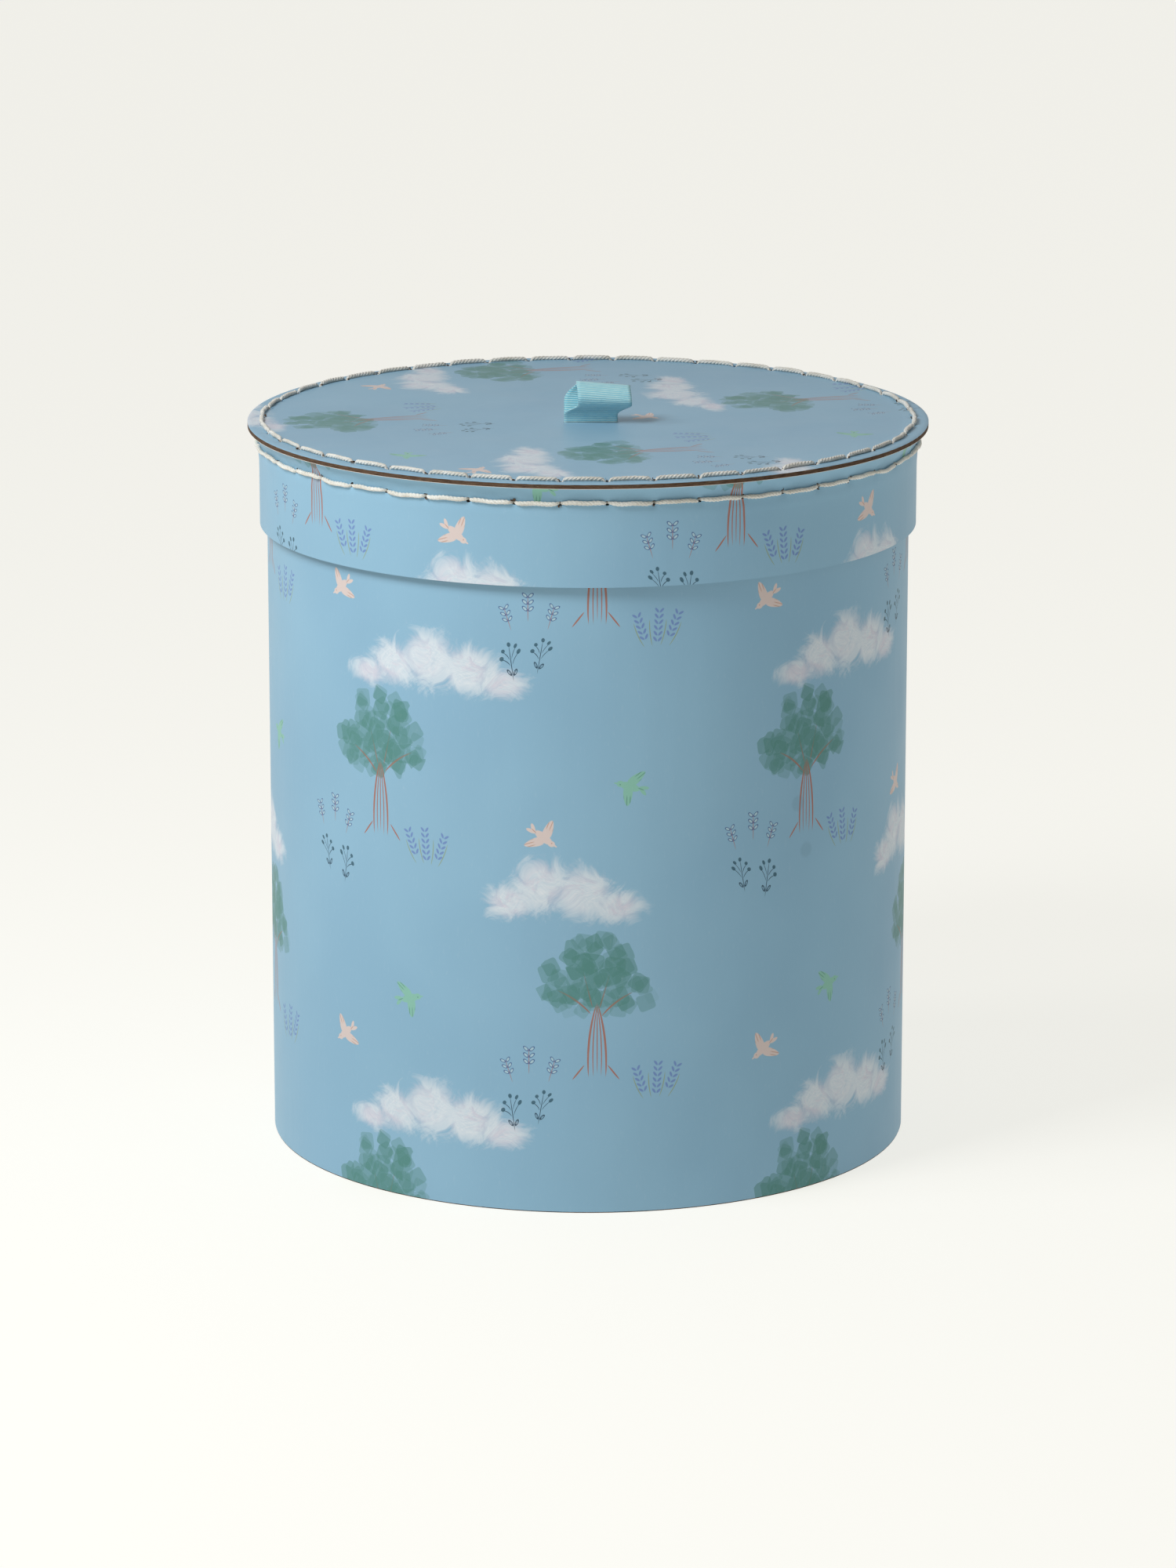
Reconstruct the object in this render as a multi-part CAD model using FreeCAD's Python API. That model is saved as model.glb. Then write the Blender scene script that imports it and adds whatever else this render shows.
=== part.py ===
"""Round hat box of paper-faced fibreboard with a sewn lift-off lid and a ribbon pull.

Millimetres, +Z up. The origin is the centre of the underside that the box stands on, and
-Y is the front. Every sheet is one brown fibreboard core with printed paper on its outer
face and white lining paper on its inner face, cut through with bare edges.
"""
import FreeCAD, Part
import math
import os

Vector = FreeCAD.Vector
UP = Vector(0, 0, 1)
CENTRE = Vector(0, 0, 0)

# Overall sizes
wall_outer_diameter = 273.6
wall_height = 308.5
band_height = 41.6
disc_overhang = 4.95

# Sheet stock
board_thickness = 1.7
paper_thickness = 0.14
paper_seam_gap = 0.4
wrap_lift = 0.4

# Fits
lid_clearance = 1.0
base_clearance = 0.15
glue_bead_size = 1.2

# Lid band: its top is pulled outwards by the sewing
flare_height = 6.1
flare_radius = 10.0

# Sewing
cord_diameter = 2.0
cord_bedding = 0.25
stitch_pitch = 18.9
first_hole_angle = 3.2
top_row_inset = 1.25
side_row_drop = 6.8
stitch_hole_diameter = 2.4
leg_diameter = 1.0
leg_spacing = 1.2
top_leg_reach = 1.2
lock_share_of_clearance = 0.45

# Ribbon pull
ribbon_width = 22.5
ribbon_thickness = 0.6
ribbon_place = Vector(1.2, -10.5, 0)
loop_radius = 5.5
loop_reach = 11.4
loop_foot_radius = 0.65
loop_foot_clearance = 0.1
loop_pinch = 1.4
loop_lean_shift = 3.0
slot_clearance = 0.3
tail_length = 14.0
patch_margin = 4.0

# Seams: angles from the front, turning towards +X
wall_seam_angle = 168.0
band_seam_angle = 196.0

# Worked out from the values above
sheet_thickness = board_thickness + 2 * paper_thickness
wall_outer_radius = wall_outer_diameter / 2
wall_inner_radius = wall_outer_radius - sheet_thickness
band_inner_radius = wall_outer_radius + lid_clearance
band_outer_radius = band_inner_radius + sheet_thickness
disc_radius = band_outer_radius + disc_overhang
disc_underside = wall_height
disc_top = disc_underside + sheet_thickness
band_low = disc_underside - band_height
flare_start = disc_underside - flare_height
flare_centre_radius = band_outer_radius + flare_radius
top_row_radius = band_outer_radius - top_row_inset
side_row_height = disc_underside - side_row_drop
stitch_count = round(2 * math.pi * top_row_radius / stitch_pitch)
stitch_angle = 360.0 / stitch_count
lock_thickness = lock_share_of_clearance * lid_clearance
tail_thickness = ribbon_thickness
loop_axis_height = disc_top + loop_foot_radius + loop_foot_clearance


def cylinder(radius, low, high):
    """Upright round solid on the box's axis."""
    return Part.makeCylinder(radius, high - low, Vector(0, 0, low), UP)


def ring(inner_radius, outer_radius, low, high):
    """Upright hoop on the box's axis."""
    return cylinder(outer_radius, low, high).cut(cylinder(inner_radius, low - 1, high + 1))


def turned(shape, degrees):
    """Copy turned about the box's axis, from the front towards +X."""
    copy = shape.copy()
    copy.rotate(CENTRE, UP, degrees)
    return copy


def seam_cutter(angle, radius, low, high):
    """Thin upright plate that parts a paper where its two ends meet."""
    plate = Part.makeBox(
        paper_seam_gap, 10, high - low + 2, Vector(-paper_seam_gap / 2, -radius - 5, low - 1)
    )
    return turned(plate, angle)


def flared_radius(depth, height):
    """Radius of the band at a height, on the surface that lies a depth under its outer face."""
    rise = max(height - flare_start, 0)
    return flare_centre_radius - math.sqrt((flare_radius + depth) ** 2 - rise ** 2)


def flared_edge(depth, low, high):
    """Line and arc that the band's section follows at a depth, from low to high."""
    straight = Part.makeLine(
        Vector(flared_radius(depth, low), 0, low),
        Vector(flared_radius(depth, flare_start), 0, flare_start),
    )
    middle = (flare_start + high) / 2
    flare = Part.Arc(
        Vector(flared_radius(depth, flare_start), 0, flare_start),
        Vector(flared_radius(depth, middle), 0, middle),
        Vector(flared_radius(depth, high), 0, high),
    )
    return [straight, flare.toShape()]


def band_layer(outer_depth, inner_depth, low, high, sweep=360.0):
    """Layer of the flared band between two depths, revolved about the box's axis."""
    outer = flared_edge(outer_depth, low, high)
    inner = flared_edge(inner_depth, low, high)
    top = Part.makeLine(outer[1].Vertexes[-1].Point, inner[1].Vertexes[-1].Point)
    bottom = Part.makeLine(inner[0].Vertexes[0].Point, outer[0].Vertexes[0].Point)
    section = Part.Wire(Part.__sortEdges__([*outer, top, *inner, bottom]))
    return Part.Face(section).revolve(CENTRE, UP, sweep)


def all_round(shape):
    """The same solid at every stitch, as a list."""
    return [turned(shape, first_hole_angle + index * stitch_angle) for index in range(stitch_count)]


def angle_along(distance, radius):
    """Degrees that an arc length takes at a radius."""
    return math.degrees(distance / radius)


def front_leg(degrees, radius, low, high):
    """Upright thread leg at an angle from the front."""
    leg = Part.makeCylinder(leg_diameter / 2, high - low, Vector(0, -radius, low), UP)
    return turned(leg, degrees)


def bedded_cord(centre, outwards, start_degrees, end_degrees):
    """Stretch of cord round the box, with a flat where it is pressed on the sheet under it."""
    radius = cord_diameter / 2
    half_flat = math.sqrt(radius ** 2 - (radius - cord_bedding) ** 2)
    along = outwards.cross(Vector(0, 1, 0))
    foot = centre - outwards * (radius - cord_bedding)
    round_side = Part.Arc(foot - along * half_flat, centre + outwards * radius, foot + along * half_flat)
    flat_side = Part.makeLine(foot + along * half_flat, foot - along * half_flat)
    section = Part.Face(Part.Wire([round_side.toShape(), flat_side]))
    return turned(section.revolve(CENTRE, UP, end_degrees - start_degrees), start_degrees - 90)


def top_stitch():
    """One stitch of the row on the disc: a bedded cord and its two legs through the board."""
    centre = Vector(top_row_radius, 0, disc_top + cord_diameter / 2 - cord_bedding)
    half_gap = angle_along(leg_spacing / 2, top_row_radius)
    cord = bedded_cord(centre, UP, half_gap, stitch_angle - half_gap)
    leg_low = disc_underside - top_leg_reach
    first = front_leg(half_gap, top_row_radius, leg_low, centre.z)
    second = front_leg(stitch_angle - half_gap, top_row_radius, leg_low, centre.z)
    return cord.fuse([first, second]).removeSplitter()


def lock_strip(degrees):
    """Flattened thread that rises inside the band from a side stitch to the row above."""
    sweep = angle_along(leg_diameter, band_inner_radius)
    strip = band_layer(
        sheet_thickness,
        sheet_thickness + lock_thickness,
        side_row_height - leg_diameter / 2,
        disc_underside - top_leg_reach,
        sweep,
    )
    return turned(strip, degrees - 90 - sweep / 2)


def side_stitch():
    """One stitch of the row on the band: a bedded cord, two legs and their lock threads."""
    row_radius = band_outer_radius + cord_diameter / 2 - cord_bedding
    centre = Vector(row_radius, 0, side_row_height)
    half_gap = angle_along(leg_spacing / 2, band_outer_radius)
    cord = bedded_cord(centre, Vector(1, 0, 0), half_gap, stitch_angle - half_gap)
    leg_inner = band_inner_radius - lock_thickness / 2
    leg_foot = Vector(0, -leg_inner, side_row_height)
    pieces = []
    for degrees in (half_gap, stitch_angle - half_gap):
        leg = Part.makeCylinder(leg_diameter / 2, row_radius - leg_inner, leg_foot, Vector(0, -1, 0))
        pieces += [turned(leg, degrees), lock_strip(degrees)]
    return cord.fuse(pieces).removeSplitter()


def top_hole_cutters():
    """Round holes through the disc, one where two stitches meet."""
    hole = Part.makeCylinder(
        stitch_hole_diameter / 2, sheet_thickness + 2, Vector(0, -top_row_radius, disc_underside - 1), UP
    )
    return all_round(hole)


def side_hole_cutters():
    """Round holes through the band, one where two stitches meet."""
    hole = Part.makeCylinder(
        stitch_hole_diameter / 2,
        sheet_thickness + 4,
        Vector(0, -band_inner_radius + 2, side_row_height),
        Vector(0, -1, 0),
    )
    return all_round(hole)


def slot_cutter():
    """Slot through the disc for the ribbon's two layers."""
    length = ribbon_width + 2 * slot_clearance
    width = 2 * ribbon_thickness + 2 * slot_clearance
    corner = Vector(ribbon_place.x - length / 2, ribbon_place.y - width / 2, disc_underside - 1)
    return Part.makeBox(length, width, sheet_thickness + 2, corner)


def belt_face(low_radius, high_radius, low_centre, high_centre):
    """Outline of a belt round a small circle below a large one, in the YZ plane."""
    reach = high_centre - low_centre
    tilt = math.asin((high_radius - low_radius) / reach)
    across = math.cos(tilt)
    down = math.sin(tilt)

    def rim(centre, radius, side):
        return Vector(0, side * radius * across, centre - radius * down)

    low_arc = Part.Arc(
        rim(low_centre, low_radius, -1),
        Vector(0, 0, low_centre - low_radius),
        rim(low_centre, low_radius, 1),
    )
    high_arc = Part.Arc(
        rim(high_centre, high_radius, 1),
        Vector(0, 0, high_centre + high_radius),
        rim(high_centre, high_radius, -1),
    )
    right = Part.makeLine(rim(low_centre, low_radius, 1), rim(high_centre, high_radius, 1))
    left = Part.makeLine(rim(high_centre, high_radius, -1), rim(low_centre, low_radius, -1))
    return Part.Face(Part.Wire([low_arc.toShape(), right, high_arc.toShape(), left]))


def ribbon_loop():
    """Teardrop loop that stands on the lid, shifted towards +X, with a round foot."""
    outer = belt_face(loop_foot_radius, loop_radius, 0, loop_reach)
    inner_radius = loop_radius - ribbon_thickness
    inner = belt_face(loop_foot_radius / 3, inner_radius, loop_pinch, loop_reach)
    loop = outer.cut(inner).extrude(Vector(ribbon_width, 0, 0))
    left = ribbon_place.x - ribbon_width / 2 + loop_lean_shift
    loop.translate(Vector(left, ribbon_place.y, loop_axis_height))
    return loop


def ribbon_tails():
    """The ribbon's two ends: down through the slot and folded flat under the disc."""
    left = ribbon_place.x - ribbon_width / 2
    shapes = []
    for side in (-1, 1):
        near = ribbon_place.y + min(0, side * tail_thickness)
        drop = Part.makeBox(
            ribbon_width,
            tail_thickness,
            sheet_thickness + tail_thickness,
            Vector(left, near, disc_underside - tail_thickness),
        )
        flap_near = ribbon_place.y + min(0, side * tail_length)
        flap = Part.makeBox(
            ribbon_width, tail_length, tail_thickness, Vector(left, flap_near, disc_underside - tail_thickness)
        )
        shapes += [drop, flap]
    return shapes[0].fuse(shapes[1:]).removeSplitter()


def ribbon_patch():
    """Round paper glued under the disc over the ribbon's ends."""
    radius = math.hypot(ribbon_width / 2, tail_length) + patch_margin
    top = disc_underside - tail_thickness
    return Part.makeCylinder(
        radius, paper_thickness, Vector(ribbon_place.x, ribbon_place.y, top - paper_thickness), UP
    )


def glue_bead():
    """Bead of glue in the inside corner between the base and the wall."""
    reach = wall_inner_radius
    low = sheet_thickness
    corner = [
        Vector(reach, 0, low),
        Vector(reach, 0, low + glue_bead_size),
        Vector(reach - glue_bead_size, 0, low),
        Vector(reach, 0, low),
    ]
    return Part.Face(Part.makePolygon(corner)).revolve(CENTRE, UP, 360.0)


def wall_parts():
    """The wall's three layers, from the outside in."""
    board_outer = wall_outer_radius - paper_thickness
    board_inner = board_outer - board_thickness
    print_paper = ring(board_outer, wall_outer_radius, wrap_lift, wall_height)
    print_seam = seam_cutter(wall_seam_angle, wall_outer_radius, 0, wall_height)
    lining = ring(wall_inner_radius, board_inner, 0, wall_height)
    return {
        "wall_board": ring(board_inner, board_outer, 0, wall_height),
        "wall_print_paper": print_paper.cut(print_seam),
        "wall_lining_paper": lining,
    }


def base_parts():
    """The inset base's three layers, from the bottom up, and its glue."""
    radius = wall_inner_radius - base_clearance
    board_low = paper_thickness
    board_high = board_low + board_thickness
    return {
        "base_print_paper": cylinder(radius, 0, board_low),
        "base_board": cylinder(radius, board_low, board_high),
        "base_lining_paper": cylinder(radius, board_high, sheet_thickness),
        "base_glue_bead": glue_bead(),
    }


def disc_parts():
    """The lid's top disc in three layers, with the stitch holes and the ribbon's slot."""
    cutters = top_hole_cutters() + [slot_cutter()]
    board_low = disc_underside + paper_thickness
    board_high = board_low + board_thickness
    layers = {
        "lid_disc_lining_paper": cylinder(disc_radius, disc_underside, board_low),
        "lid_disc_board": cylinder(disc_radius, board_low, board_high),
        "lid_disc_print_paper": cylinder(disc_radius, board_high, disc_top),
    }
    return {name: layer.cut(cutters) for name, layer in layers.items()}


def band_parts():
    """The lid's flared band in three layers, with the stitch holes."""
    cutters = side_hole_cutters()
    board_outer = paper_thickness
    board_inner = paper_thickness + board_thickness
    seam = seam_cutter(band_seam_angle, band_outer_radius, band_low, disc_underside)
    print_paper = band_layer(0, board_outer, band_low, disc_underside)
    board = band_layer(board_outer, board_inner, band_low, disc_underside)
    lining = band_layer(board_inner, sheet_thickness, band_low, disc_underside)
    return {
        "lid_band_print_paper": print_paper.cut([*cutters, seam]),
        "lid_band_board": board.cut(cutters),
        "lid_band_lining_paper": lining.cut(cutters),
    }


def sewing_parts():
    """Both rows of cord stitches, each row a group of separate stitches."""
    return {
        "lid_top_stitching": Part.makeCompound(all_round(top_stitch())),
        "lid_side_stitching": Part.makeCompound(all_round(side_stitch())),
    }


def ribbon_parts():
    """The pull: its loop, its ends and the patch that hides them."""
    return {
        "ribbon_loop": ribbon_loop(),
        "ribbon_tails": ribbon_tails(),
        "ribbon_patch": ribbon_patch(),
    }


def main():
    """Build every node and write it to parts."""
    os.makedirs("parts", exist_ok=True)
    nodes = {}
    for group in (wall_parts(), base_parts(), disc_parts(), band_parts(), sewing_parts(), ribbon_parts()):
        nodes.update(group)
    for name, shape in nodes.items():
        shape.exportStep(f"parts/{name}.step")
        print(name, "solids", len(shape.Solids), "volume", round(shape.Volume, 2), "valid", shape.isValid())
    print("stitches in each row", stitch_count)
    print("ribbon hinge at", round(ribbon_place.x, 2), round(ribbon_place.y, 2), round(loop_axis_height, 2))


main()
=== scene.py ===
# %% [markdown]
# # A sewn hat box of printed fibreboard
#
# This lesson dresses a finished CAD model in Blender. The model already fixes every size
# and every joint, so each piece made here takes its place from the model and never the
# other way round. The box is a drum of brown fibreboard, faced with blue printed paper,
# under a lid whose disc is sewn to its band with thick cotton cord.

# %% Load the model
import math
import random

import bmesh
import bpy
from mathutils import Matrix, Vector
from mathutils.kdtree import KDTree


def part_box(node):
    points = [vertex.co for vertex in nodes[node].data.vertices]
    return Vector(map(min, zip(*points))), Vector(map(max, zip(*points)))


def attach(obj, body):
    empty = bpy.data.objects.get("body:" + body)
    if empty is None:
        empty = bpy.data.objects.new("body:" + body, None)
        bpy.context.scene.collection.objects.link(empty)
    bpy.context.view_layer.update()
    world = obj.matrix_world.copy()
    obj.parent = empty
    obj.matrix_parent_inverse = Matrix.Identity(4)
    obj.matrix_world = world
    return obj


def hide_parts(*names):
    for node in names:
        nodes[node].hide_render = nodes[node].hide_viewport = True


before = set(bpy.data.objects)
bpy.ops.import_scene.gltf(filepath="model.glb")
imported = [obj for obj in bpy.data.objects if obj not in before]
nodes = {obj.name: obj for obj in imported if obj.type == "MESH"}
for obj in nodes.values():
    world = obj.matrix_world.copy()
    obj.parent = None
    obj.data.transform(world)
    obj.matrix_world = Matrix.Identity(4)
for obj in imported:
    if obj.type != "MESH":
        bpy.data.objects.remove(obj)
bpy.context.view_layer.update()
MM = 0.001

# %% [markdown]
# Sizes are read from the model's nodes rather than typed again. A node's box gives its
# outer radius and its heights, and the sheets' thickness is what is left between them.

# %% Sizes read from the model
def outer_radius(node):
    """Radius of a round node that stands on the box's axis, from its own points."""
    return max(math.hypot(v.co.x, v.co.y) for v in nodes[node].data.vertices)


def heights(node):
    """Lowest and highest z of a node."""
    low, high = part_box(node)
    return low[2], high[2]


wall_radius = outer_radius("wall_print_paper")
wall_board_radius = outer_radius("wall_board")
disc_radius = outer_radius("lid_disc_print_paper")
wall_low, wall_high = heights("wall_print_paper")
band_low, band_high = heights("lid_band_print_paper")
disc_top = heights("lid_disc_print_paper")[1]
paper = wall_radius - wall_board_radius
print("wall radius", round(wall_radius / MM, 2), "disc radius", round(disc_radius / MM, 2))
print("paper", round(paper / MM, 3), "disc top", round(disc_top / MM, 2))

# %% [markdown]
# ## Camera, floor and light
#
# A long lens from a little above keeps the drum's sides nearly upright and the lid a
# narrow ellipse. The floor is one big pale plane that glows a little, so it fills the
# view evenly to its top edge and throws some light back up at the box.

# %% Camera
CAMERA_PLACE = (0, -2.5954, 0.8031)
CAMERA_PITCH = 14.13
LENS = 142.3
SENSOR = 36

camera_data = bpy.data.cameras.new("camera")
camera_data.lens = LENS
camera_data.sensor_width = SENSOR
camera = bpy.data.objects.new("camera", camera_data)
camera.location = CAMERA_PLACE
camera.rotation_euler = (math.radians(90 - CAMERA_PITCH), 0, 0)
bpy.context.scene.collection.objects.link(camera)
bpy.context.scene.camera = camera
bpy.context.scene.view_settings.view_transform = "Standard"

# %% Floor
def new_object(name, bm):
    """Object at the origin that holds a finished bmesh."""
    mesh = bpy.data.meshes.new(name)
    bm.to_mesh(mesh)
    bm.free()
    piece = bpy.data.objects.new(name, mesh)
    bpy.context.scene.collection.objects.link(piece)
    return piece


FLOOR_SIZE = 14
FLOOR_PAINT = (0.3, 0.3, 0.29, 1)
FLOOR_GLOW = (1.0, 0.99, 0.93, 1)
bm = bmesh.new()
bmesh.ops.create_grid(bm, x_segments=2, y_segments=2, size=FLOOR_SIZE)
floor = new_object("floor", bm)
floor_paint = bpy.data.materials.new("floor_paint")
floor_paint.use_nodes = True
floor_shader = floor_paint.node_tree.nodes["Principled BSDF"]
floor_shader.inputs["Base Color"].default_value = FLOOR_PAINT
floor_shader.inputs["Roughness"].default_value = 0.9
floor_shader.inputs["Specular IOR Level"].default_value = 0.1
floor_shader.inputs["Emission Color"].default_value = FLOOR_GLOW
floor_shader.inputs["Emission Strength"].default_value = 0.76
floor.data.materials.append(floor_paint)

# %% [markdown]
# Three lights shape the box. The sky is an even fill, stronger behind the box than in
# front of it. A soft box, which is an area light, stands at the front left: it models the
# drum and shades the band under the lid's edge. A weak sun from the left gives the ribbon
# its shadow. One large light would be simpler, but it leaves the far side too flat.

# %% Sky
SKY_FRONT = 0.2
SKY_BACK = 0.55

world = bpy.data.worlds.new("studio")
world.use_nodes = True
sky = world.node_tree
background = sky.nodes["Background"]
background.inputs["Color"].default_value = (1.0, 0.99, 0.97, 1)
direction = sky.nodes.new("ShaderNodeTexCoord")
parts = sky.nodes.new("ShaderNodeSeparateXYZ")
sky.links.new(direction.outputs["Generated"], parts.inputs[0])
ramp = sky.nodes.new("ShaderNodeMapRange")
ramp.interpolation_type = "SMOOTHSTEP"
ramp.inputs["From Min"].default_value = 0.0
ramp.inputs["From Max"].default_value = 1.0
ramp.inputs["To Min"].default_value = SKY_FRONT
ramp.inputs["To Max"].default_value = SKY_BACK
sky.links.new(parts.outputs["Y"], ramp.inputs["Value"])
sky.links.new(ramp.outputs["Result"], background.inputs["Strength"])
bpy.context.scene.world = world

# %% Soft box
KEY_TURN = -48
KEY_DISTANCE = 0.85
KEY_HEIGHT = 1.05
KEY_WIDE = 0.34
KEY_TALL = 0.42
KEY_POWER = 7.8
KEY_AIM = 0.17

key_data = bpy.data.lights.new("soft_box", "AREA")
key_data.shape = "RECTANGLE"
key_data.size = KEY_WIDE
key_data.size_y = KEY_TALL
key_data.energy = KEY_POWER
key = bpy.data.objects.new("soft_box", key_data)
turn = math.radians(KEY_TURN)
key.location = (KEY_DISTANCE * math.sin(turn), -KEY_DISTANCE * math.cos(turn), KEY_HEIGHT)
aim = Vector((0, 0, KEY_AIM)) - key.location
key.rotation_euler = aim.to_track_quat("-Z", "Y").to_euler()
key.visible_camera = False
bpy.context.scene.collection.objects.link(key)

# %% Low side light
SIDE_STRENGTH = 0.4
SIDE_TURN = -78
SIDE_HEIGHT = 34
SIDE_SPREAD = 14

side_data = bpy.data.lights.new("side_light", "SUN")
side_data.energy = SIDE_STRENGTH
side_data.angle = math.radians(SIDE_SPREAD)
side_light = bpy.data.objects.new("side_light", side_data)
side_light.rotation_euler = (math.radians(90 - SIDE_HEIGHT), 0, math.radians(SIDE_TURN))
bpy.context.scene.collection.objects.link(side_light)

# %% [markdown]
# ## Sums with sockets
#
# A printed pattern is arithmetic on a place: how far is this point from the middle of a
# leaf, or from a pen line? Wiring that by hand takes hundreds of clicks, so `Num` wraps a
# socket and lets Python's own +, -, * and / add the Math nodes.

# %% A number in a shader tree
class Num:
    """A socket that can be used in sums like a number."""

    def __init__(self, tree, socket):
        self.tree = tree
        self.socket = socket

    def math(self, operation, *others):
        """Math node of this number and up to two more."""
        node = self.tree.nodes.new("ShaderNodeMath")
        node.operation = operation
        feed(self.tree, node, (self, *others))
        return Num(self.tree, node.outputs[0])

    def __add__(self, other):
        return self.math("ADD", other)

    def __sub__(self, other):
        return self.math("SUBTRACT", other)

    def __mul__(self, other):
        return self.math("MULTIPLY", other)

    def __truediv__(self, other):
        return self.math("DIVIDE", other)

    def step(self, low, high):
        """Smooth ramp: 0 where this number is at low, 1 where it is at high."""
        node = self.tree.nodes.new("ShaderNodeMapRange")
        node.interpolation_type = "SMOOTHSTEP"
        self.tree.links.new(self.socket, node.inputs["Value"])
        node.inputs["From Min"].default_value = low
        node.inputs["From Max"].default_value = high
        return Num(self.tree, node.outputs["Result"])


def feed(tree, node, values):
    """Give a node its inputs, in order: numbers are typed in and sockets are linked."""
    for entry, value in zip(node.inputs, values):
        if isinstance(value, Num):
            tree.links.new(value.socket, entry)
        elif value is not None:
            entry.default_value = value


def join(u, v, w=0.0):
    """Vector socket of three numbers."""
    node = u.tree.nodes.new("ShaderNodeCombineXYZ")
    feed(u.tree, node, (u, v, w))
    return Num(u.tree, node.outputs[0])


def split(place):
    """The numbers along x and y of a vector socket."""
    node = place.tree.nodes.new("ShaderNodeSeparateXYZ")
    place.tree.links.new(place.socket, node.inputs[0])
    return Num(place.tree, node.outputs[0]), Num(place.tree, node.outputs[1])


def seen_from(place, x, y, turn=0.0, wide=1.0, high=1.0):
    """The pair of numbers measured from (x, y), along turned axes, in units of wide and high."""
    across, up = place
    cosine, sine = math.cos(math.radians(turn)), math.sin(math.radians(turn))

    def along(first, second, unit):
        part = up.math("MULTIPLY_ADD", second / unit, -(x * first + y * second) / unit)
        return across.math("MULTIPLY_ADD", first / unit, part)

    return along(cosine, sine, wide), along(-sine, cosine, high)


def length_of(place):
    """Distance of a pair of numbers from (0, 0)."""
    vector = join(*place)
    node = vector.tree.nodes.new("ShaderNodeVectorMath")
    node.operation = "LENGTH"
    vector.tree.links.new(vector.socket, node.inputs[0])
    return Num(vector.tree, node.outputs["Value"])


def noise(place, scale, detail=2.0, roughness=0.5, distortion=0.0, colour=False):
    """Noise texture on a place."""
    node = place.tree.nodes.new("ShaderNodeTexNoise")
    place.tree.links.new(place.socket, node.inputs["Vector"])
    node.inputs["Scale"].default_value = scale
    node.inputs["Detail"].default_value = detail
    node.inputs["Roughness"].default_value = roughness
    node.inputs["Distortion"].default_value = distortion
    return Num(place.tree, node.outputs["Color" if colour else "Fac"])


def blend_colours(tree, share, first, second):
    """Mix of two colours, which may be sockets or plain values, by a share."""
    node = tree.nodes.new("ShaderNodeMix")
    node.data_type = "RGBA"
    factor, _, _, _, _, _, colour_a, colour_b = node.inputs[:8]
    feed_colour(tree, colour_a, first)
    feed_colour(tree, colour_b, second)
    feed(tree, node, (share,))
    return Num(tree, node.outputs[2])


def feed_colour(tree, entry, colour):
    """Link a colour socket, or type a colour in."""
    if isinstance(colour, Num):
        tree.links.new(colour.socket, entry)
    else:
        entry.default_value = colour


def ink(red, green, blue):
    """Scene colour of a paint that is known by its everyday 0 to 255 values."""
    def linear(value):
        share = value / 255
        return share / 12.92 if share <= 0.04045 else ((share + 0.055) / 1.055) ** 2.4
    return (linear(red), linear(green), linear(blue), 1)

# %% [markdown]
# ## The printed paper
#
# The paper repeats every 192 mm, and every second column drops by half a repeat. It is
# this lesson's own drawing of the usual country print: soft trees, dry-brushed clouds,
# small birds, and sprigs. Each drawing folds the whole sheet into its own cell first, so
# one set of nodes prints every copy, and the fold also tells odd columns from even ones.

# %% Folding the sheet into cells
REPEAT = 192
COLUMN = REPEAT / 2


def cell(place, x, y):
    """Place within the half-drop cell round (x, y), and 1 in every second column, else 0."""
    across, up = place
    across = across - x
    u = across.math("WRAP", -COLUMN / 2, COLUMN / 2)
    odd = ((across - u) / COLUMN).math("FLOORED_MODULO", 2)
    v = (up - y - odd * COLUMN).math("WRAP", -REPEAT / 2, REPEAT / 2)
    return u, v, odd


def wide_cell(place, x, y):
    """Place within the full repeat round (x, y), for drawings as wide as a cloud."""
    across, up = place
    half = REPEAT / 2
    return (across - x).math("WRAP", -half, half), (up - y).math("WRAP", -half, half)


# %% [markdown]
# Three kinds of mark draw almost everything: a soft-edged oval, a pen stroke that thins
# at its ends, and a row of leaves that repeats along a stem.

# %% Marks
def oval(place, x, y, wide, high, turn=0.0, soft=0.25):
    """1 inside an oval, falling to 0 over its soft rim."""
    return length_of(seen_from(place, x, y, turn, wide, high)).step(1 + soft / 2, 1 - soft / 2)


def ring(place, x, y, wide, high, turn=0.0, line=0.3):
    """1 on the outline of an oval."""
    distance = length_of(seen_from(place, x, y, turn, wide, high)) - 1
    return distance.math("ABSOLUTE").step(line, line / 2)


def pen(place, x, y, reach, width, turn=90.0, bend=0.0):
    """1 on a stroke through (x, y) that thins towards both ends and may be bent."""
    along, across = seen_from(place, x, y, turn, reach / 2, width / 2)
    square = along * along
    off = square.math("MULTIPLY_ADD", 2 * bend / width, across)
    return off.math("MULTIPLY_ADD", off, square).step(1.15, 0.75)


def most(*masks):
    """Largest of several masks."""
    total = masks[0]
    for mask in masks[1:]:
        total = total.math("MAXIMUM", mask)
    return total


def leaf_row(place, x, y, turn, spacing, pairs, leaf_turn=50, plump=0.2):
    """Pairs of leaves up a stem that starts at (x, y) and points along turn."""
    across, along = seen_from(place, x, y, turn - 90, spacing, spacing)
    one_pair = across.math("ABSOLUTE"), along.math("FRACT")
    leaf = oval(one_pair, 0.42, 0.55, 0.5, plump, leaf_turn, 0.5)
    inside = (along - pairs / 2).math("ABSOLUTE").math("LESS_THAN", pairs / 2)
    return leaf * inside


# %% [markdown]
# A drawing that is used more than once is a node group, which is Blender's own way of
# keeping a stencil: change the group and every print of it changes.

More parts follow.
